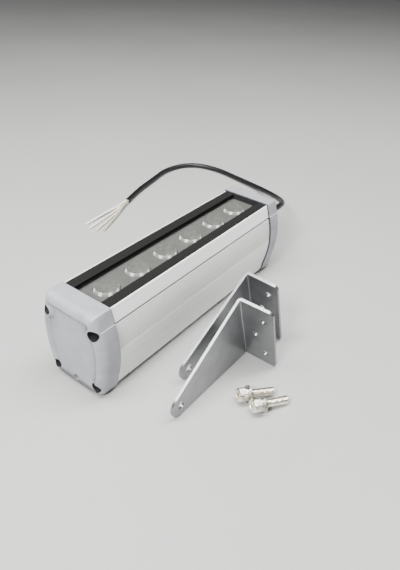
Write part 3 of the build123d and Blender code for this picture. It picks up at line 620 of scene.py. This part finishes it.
# Cable gland: hexagon, ribbed nut and a tapered strain relief, 25 mm out of the cap
gland = {
    "height": 48.0, "seat": 148.2, "segments": 72, "sharpAngle": 32,
    "threadRadius": 8.0, "threadDepth": 12.0, "threadWall": 0.6,
    "hexRadius": 12.0, "hexThickness": 5.0, "hexEdge": 0.5, "hexCrown": 0.8,
    "neckRadius": 8.4, "neckLength": 0.4,
    "nutRadius": 9.9, "nutLength": 9.0, "ribs": 12, "ribDepth": 0.7, "ribPower": 4,
    "nutFootCut": 0.5, "nutFootLength": 0.6, "nutRibEnd": 1.2, "nutCrownEnd": 0.3, "nutCrownCut": 0.9,
    "sleeveRadius": 8.2, "tipRadius": 5.2, "sleeveTurns": 5, "ringsPerTurn": 4, "sleeveGroove": 0.45,
    "mouth": 175.1, "mouthRadius": 4.0, "boreRadius": 3.9, "boreDepth": 3.0,
}


def ribRadius(radius):
    def at(angle):
        wave = 0.5 - 0.5 * math.cos(gland["ribs"] * angle)
        return radius - gland["ribDepth"] * wave ** gland["ribPower"]
    return at


glandAxis = Matrix.Translation((0, 0, gland["height"])) @ Matrix.Rotation(math.radians(90), 4, "Y")
seat = gland["seat"]
threadEnd = seat - gland["threadDepth"]
hexEnd = seat + gland["hexThickness"]
nutStart = hexEnd + gland["neckLength"]
nutEnd = nutStart + gland["nutLength"]
glandRings = [
    (threadEnd, gland["threadRadius"] - gland["threadWall"]),
    (threadEnd, gland["threadRadius"]),
    (seat, gland["threadRadius"]),
    (seat, hexagon(gland["hexRadius"], -gland["hexEdge"])),
    (seat + gland["hexEdge"], hexagon(gland["hexRadius"])),
    (hexEnd - gland["hexEdge"], hexagon(gland["hexRadius"])),
    (hexEnd, hexagon(gland["hexRadius"], -gland["hexCrown"])),
    (hexEnd, gland["neckRadius"]),
    (nutStart, gland["neckRadius"]),
    (nutStart, ribRadius(gland["nutRadius"] - gland["nutFootCut"])),
    (nutStart + gland["nutFootLength"], ribRadius(gland["nutRadius"])),
    (nutEnd - gland["nutRibEnd"], ribRadius(gland["nutRadius"])),
    (nutEnd - gland["nutCrownEnd"], gland["nutRadius"] - gland["nutCrownCut"]),
    (nutEnd, gland["sleeveRadius"]),
]
sleeveLength = gland["mouth"] - nutEnd
ringCount = gland["sleeveTurns"] * gland["ringsPerTurn"]
for ring in range(1, ringCount + 1):
    share = ring / ringCount
    r = gland["sleeveRadius"] + (gland["tipRadius"] - gland["sleeveRadius"]) * share
    groove = gland["sleeveGroove"] if ring % gland["ringsPerTurn"] in (1, 2) else 0.0
    glandRings.append((nutEnd + sleeveLength * share, r - groove))
glandRings.append((gland["mouth"], gland["mouthRadius"]))
glandRings.append((gland["mouth"] - gland["boreDepth"], gland["boreRadius"]))
glandPoints, glandFaces = turned(glandRings, Matrix.Scale(mm, 4) @ glandAxis, gland["segments"])
strainRelief = meshPiece("glandStrainRelief", glandPoints, glandFaces, glandNylon, "light")
sharpen(strainRelief, gland["sharpAngle"])
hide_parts("gland_nut", "gland_body")
print("gland made")


# Collimator lenses: clear top and a rounded, lightly scalloped rim, over a satin cup
lens = {
    "count": 6, "pitch": 41.0, "top": 87.4, "radius": 12.5, "segments": 144,
    "faceSteps": 10, "faceCentre": 0.2, "dishDepth": 0.7,
    "rimSteps": 14, "rimInner": 11.0, "rimGap": 0.1, "rimHeight": 2.1, "rimDrop": 2.5, "rimCurve": 1.5,
    "rimFoot": -2.0, "facets": 18, "facetDepth": 0.5,
    "lobes": 8, "lobeTurn": 16.2, "lobeHalf": 8.0,  # the stretches of the rim with painted reflection, in degrees
    "cupSteps": 12, "cupRadius": 12.2, "cupFoot": 5.8, "cupDepth": 12.0, "cupBelow": 1.4,
}


def lensSurface(rings, middle):
    # rings of (radius, height over the lens top, how far the facets cut in)
    points, faces = [], []
    count = lens["segments"]
    for r, rise, cut in rings:
        for step in range(count):
            angle = 2 * math.pi * step / count
            facet = abs(math.sin(lens["facets"] * angle / 2))
            z = lens["top"] + rise - lens["facetDepth"] * cut * (1 - facet)
            points.append(Vector((middle + r * math.cos(angle), r * math.sin(angle), z)) * mm)
    for ring in range(len(rings) - 1):
        for step in range(count):
            a = ring * count + step
            b = ring * count + (step + 1) % count
            faces.append((a, b, b + count, a + count))
    return points, faces


faceRings = []
for step in range(lens["faceSteps"] + 1):
    share = step / lens["faceSteps"]
    r = max(lens["faceCentre"], lens["rimInner"] * share)
    faceRings.append((r, lens["rimHeight"] - lens["dishDepth"] * (1 - share ** 2), 0.0))
rimRings = []
rimOuter = lens["radius"] - lens["rimGap"]
for step in range(lens["rimSteps"] + 1):
    share = step / lens["rimSteps"]
    r = lens["rimInner"] + (rimOuter - lens["rimInner"]) * share
    rimRings.append((r, lens["rimHeight"] - lens["rimDrop"] * share ** lens["rimCurve"], share))
rimRings.append((rimOuter, lens["rimFoot"], 0.0))
cupRings = []
for step in range(lens["cupSteps"] + 1):
    share = step / lens["cupSteps"]
    r = lens["cupFoot"] + (lens["cupRadius"] - lens["cupFoot"]) * math.sin(math.pi / 2 * share)
    cupRings.append((lens["top"] - lens["cupBelow"] - lens["cupDepth"] * (1 - share), r))

for index in range(lens["count"]):
    middle = (index - (lens["count"] - 1) / 2) * lens["pitch"]
    points, faces = lensSurface(faceRings, middle)
    faces.append(tuple(reversed(range(lens["segments"]))))
    lensFace = meshPiece(f"lensFace_{index + 1}", points, faces, mouldedAcrylic, "light")
    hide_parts(f"lens_{index + 1}")
    points, faces = lensSurface(rimRings, middle)
    lensRim = meshPiece(f"lensRim_{index + 1}", points, faces, satinFlank, "light")
    lensRim.data.materials.append(flankPaintedReflection)
    # the lobes of the rim get the white of the painted reflection
    lobeStep = 360 / lens["lobes"]
    for number, polygon in enumerate(lensRim.data.polygons):
        angle = 360 * (number % lens["segments"] + 0.5) / lens["segments"]
        apart = (angle - lens["lobeTurn"] + lobeStep / 2) % lobeStep - lobeStep / 2
        polygon.material_index = int(abs(apart) < lens["lobeHalf"])
    cupPlace = Matrix.Scale(mm, 4) @ Matrix.Translation((middle, 0, 0))
    points, faces = turned(cupRings, cupPlace, lens["segments"], closeEnd=False)
    lensCup = meshPiece(f"lensCup_{index + 1}", points, faces, collimatorCup, "light")
print("lenses made")


# Bolts: M8 by 30 socket heads with straight knurling and a rolled thread
bolt = {
    "radius": 4.0, "length": 30.0, "segments": 72, "tipChamfer": 0.8, "washerRadius": 8.0, "washers": 3.6,
    "socketRadius": 3.46, "socketDepth": 4.0, "socketMouth": 0.5, "socketFlare": 0.35, "socketCentre": 0.05,
    "headRadius": 6.5, "headHeight": 8.0, "crown": ((0.0, 1.1), (0.25, 0.55), (0.7, 0.2)),  # depth, cut
    "knurls": 36, "knurlDepth": 0.32, "knurlStart": 0.95, "knurlEnd": 0.9, "collar": 0.6, "collarCut": 0.15,
    "shankCut": 0.02, "shankEnd": 4.4, "threadStart": 4.8, "threadSteps": 160,
    "pitch": 1.25, "threadDepth": 0.62, "crestShare": 1.25, "sharpAngle": 30,
    # each bolt's spot on the surface and its heading in degrees
    "places": {"bolt_front": ((-73.8, -147.4), -29.7), "bolt_rear": ((-71.0, -129.8), -33.7)},
}


def boltPlace(spot, yaw):
    # the bolt lies on its washer's rim and its tip; local z runs from the head's end to the tip
    run = bolt["length"] - bolt["tipChamfer"] - bolt["washers"]
    droop = math.atan2(bolt["washerRadius"] - bolt["radius"], run)
    heading = Vector((math.cos(math.radians(yaw)), math.sin(math.radians(yaw)), 0))
    axis = heading * math.cos(droop) - Vector((0, 0, math.sin(droop)))
    up = heading * math.sin(droop) + Vector((0, 0, math.cos(droop)))
    rise = (bolt["headHeight"] + bolt["washers"]) * math.sin(droop) + bolt["washerRadius"] * math.cos(droop)
    across = axis.cross(up)
    turn = Matrix((up, across, axis)).transposed().to_4x4()
    return Matrix.Scale(mm, 4) @ Matrix.Translation((spot[0], spot[1], rise)) @ turn


def knurl(depth):
    def at(angle):
        return bolt["headRadius"] - depth * abs(math.sin(bolt["knurls"] * angle / 2))
    return at


def thread(along):
    def at(angle):
        turnShare = (along / bolt["pitch"] - angle / (2 * math.pi)) % 1
        crest = 1 - abs(2 * turnShare - 1)
        return bolt["radius"] - bolt["threadDepth"] * (1 - min(1, crest * bolt["crestShare"]))
    return at


def boltRings():
    head = bolt["headHeight"]
    collar = bolt["headRadius"] - bolt["collarCut"]
    shank = bolt["radius"] - bolt["shankCut"]
    rings = [
        (bolt["socketDepth"], bolt["socketCentre"]),
        (bolt["socketDepth"], hexagon(bolt["socketRadius"])),
        (bolt["socketMouth"], hexagon(bolt["socketRadius"])),
        (0.0, hexagon(bolt["socketRadius"], bolt["socketFlare"])),
        *[(depth, bolt["headRadius"] - cut) for depth, cut in bolt["crown"]],
        (bolt["knurlStart"], knurl(bolt["knurlDepth"])),
        (head - bolt["knurlEnd"], knurl(bolt["knurlDepth"])),
        (head - bolt["collar"], collar),
        (head, collar),
        (head, shank),
        (head + bolt["shankEnd"], shank),
    ]
    first = bolt["threadStart"]
    last = bolt["length"] - bolt["tipChamfer"]
    for step in range(bolt["threadSteps"] + 1):
        along = first + (last - first) * step / bolt["threadSteps"]
        rings.append((head + along, thread(along)))
    rings.append((head + bolt["length"], bolt["radius"] - bolt["tipChamfer"]))
    return rings


for name, (spot, yaw) in bolt["places"].items():
    boltPoints, boltFaces = turned(boltRings(), boltPlace(spot, yaw), bolt["segments"])
    screw = meshPiece(f"{name}_turned", boltPoints, boltFaces, stainlessSteel, name)
    sharpen(screw, bolt["sharpAngle"])
    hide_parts(name)
print("bolts made")


# Floor and light: metres and watts, but the floor's drop is in millimetres
studio = {
    "floorSize": 3.0, "floorDrop": 0.2, "sky": "#eef0f3", "skyStrength": 0.11,
    "lights": [
        # name, place, aimed at (or none: straight down, turned by topTurn degrees), length, breadth, power
        ("topPanel", (-0.1, 0.0, 1.4), None, 2.4, 0.5, 74.0),
        ("sidePanel", (1.4, -1.0, 0.7), (0.1, 0.0, 0.05), 0.9, 0.9, 1.5),
        ("leftPanel", (-1.3, -0.2, 1.2), (0.0, 0.0, 0.05), 0.4, 0.4, 46.0),
    ],
    "topTurn": -37.0,
}

paleFloor = makeSurface({
    "name": "paleFloor", "tones": ("#acacaa", "#a8a8a6"), "patch": 300.0, "grain": 5.0,
    "relief": 0.02, "rough": (0.6, 0.75),
})
half = studio["floorSize"]
drop = -studio["floorDrop"] * mm
floorMesh = bpy.data.meshes.new("studioFloor")
floorCorners = [(-half, -half, drop), (half, -half, drop), (half, half, drop), (-half, half, drop)]
floorMesh.from_pydata(floorCorners, [], [(0, 1, 2, 3)])
floorMesh.materials.append(paleFloor)
floor = bpy.data.objects.new("studioFloor", floorMesh)
scene.collection.objects.link(floor)

world = bpy.data.worlds.new("studioSky")
scene.world = world
world.use_nodes = True
sky = world.node_tree.nodes["Background"]
sky.inputs["Color"].default_value = linear(studio["sky"])
sky.inputs["Strength"].default_value = studio["skyStrength"]

for name, place, aim, length, breadth, power in studio["lights"]:
    lightData = bpy.data.lights.new(name, "AREA")
    lightData.shape = "RECTANGLE"
    lightData.size = length
    lightData.size_y = breadth
    lightData.energy = power
    panel = bpy.data.objects.new(name, lightData)
    panel.location = place
    if aim is None:
        panel.rotation_euler = (0, 0, math.radians(studio["topTurn"]))
    else:
        panel.rotation_euler = (Vector(aim) - Vector(place)).to_track_quat("-Z", "Y").to_euler()
    scene.collection.objects.link(panel)
print("studio lit")

bpy.context.view_layer.update()
